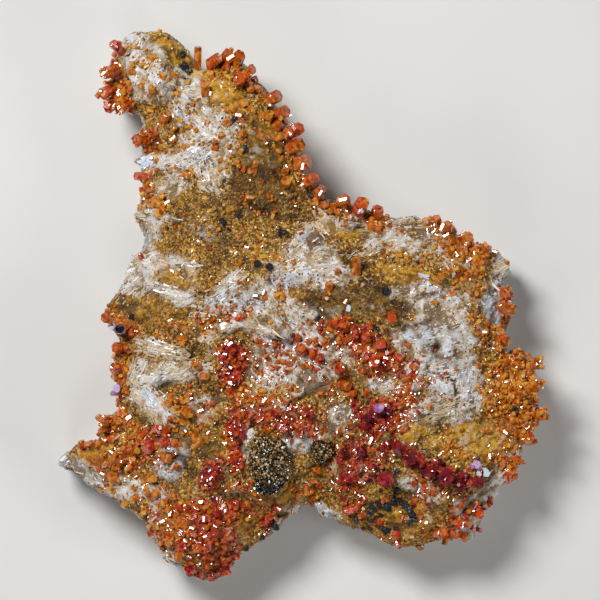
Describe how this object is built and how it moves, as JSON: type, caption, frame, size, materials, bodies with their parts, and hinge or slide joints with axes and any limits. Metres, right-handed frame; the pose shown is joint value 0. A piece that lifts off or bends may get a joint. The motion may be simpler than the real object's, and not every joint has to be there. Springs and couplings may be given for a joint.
{
  "type": "vanadinite on barite mineral specimen",
  "caption": "Loose mineral specimen: an ochre-stained barite plate with a tapering head, crusted with orange and red vanadinite crystals, lying on its flat back.",
  "frame": {"origin": "middle of the specimen's outline in plan, on the flat back that it lies on", "axes": "+X to the right of the picture, +Y towards the narrow head, +Z out of the crystal-covered face"},
  "size_m": [0.0982, 0.1104, 0.025],
  "materials": {
    "stained_barite": "rough, white barite with ochre iron staining",
    "vanadinite_orange": "resinous gloss",
    "vanadinite_red": "resinous gloss",
    "vanadinite_maroon": "resinous gloss",
    "vanadinite_brown": "resinous gloss",
    "dark_rosette": "fine glittering crystals",
    "black_bead": "dull black"
  },
  "bodies": {
    "root": {"barite_matrix": "stained_barite", "druse_head_edge": "vanadinite_brown", "druse_crown": "vanadinite_orange", "druse_slope": "vanadinite_orange", "druse_saddle": "vanadinite_orange", "druse_north_east_rim": "vanadinite_orange", "druse_east_rim": "vanadinite_orange", "druse_east_lobe": "vanadinite_orange", "druse_south_east_edge": "vanadinite_brown", "druse_lower_right_edge": "vanadinite_red", "druse_maroon_band": "vanadinite_maroon", "druse_dark_field": "vanadinite_maroon", "druse_dark_knot": "vanadinite_maroon", "druse_red_band": "vanadinite_red", "druse_red_column": "vanadinite_red", "druse_red_swath": "vanadinite_red", "druse_red_garden": "vanadinite_red", "druse_red_tongue": "vanadinite_maroon", "druse_bottom_spike": "vanadinite_red", "druse_left_spike": "vanadinite_brown", "druse_west_rim_low": "vanadinite_orange", "druse_west_rim_high": "vanadinite_orange", "druse_west_prisms": "vanadinite_brown", "druse_neck_edge": "vanadinite_red", "tall_prism_head": "vanadinite_orange", "hexagonal_plate": "vanadinite_maroon", "prism_slope_face": "vanadinite_orange", "plate_shoulder": "vanadinite_orange", "prism_neck": "vanadinite_orange", "prism_neck_rim": "vanadinite_red", "prism_crown_foot": "vanadinite_orange", "stacked_prism": "vanadinite_orange", "prism_brown_mound": "vanadinite_brown", "prism_north_plateau": "vanadinite_orange", "prism_feather": "vanadinite_orange", "plate_west": "vanadinite_orange", "prism_striated": "vanadinite_orange", "oval_prism_notch": "vanadinite_orange", "dark_rosette_large": "dark_rosette", "dark_rosette_small": "dark_rosette", "black_bead_west": "black_bead", "black_bead_middle": "black_bead", "black_bead_head": "black_bead", "black_bead_mound": "black_bead"}
  },
  "joints": []
}
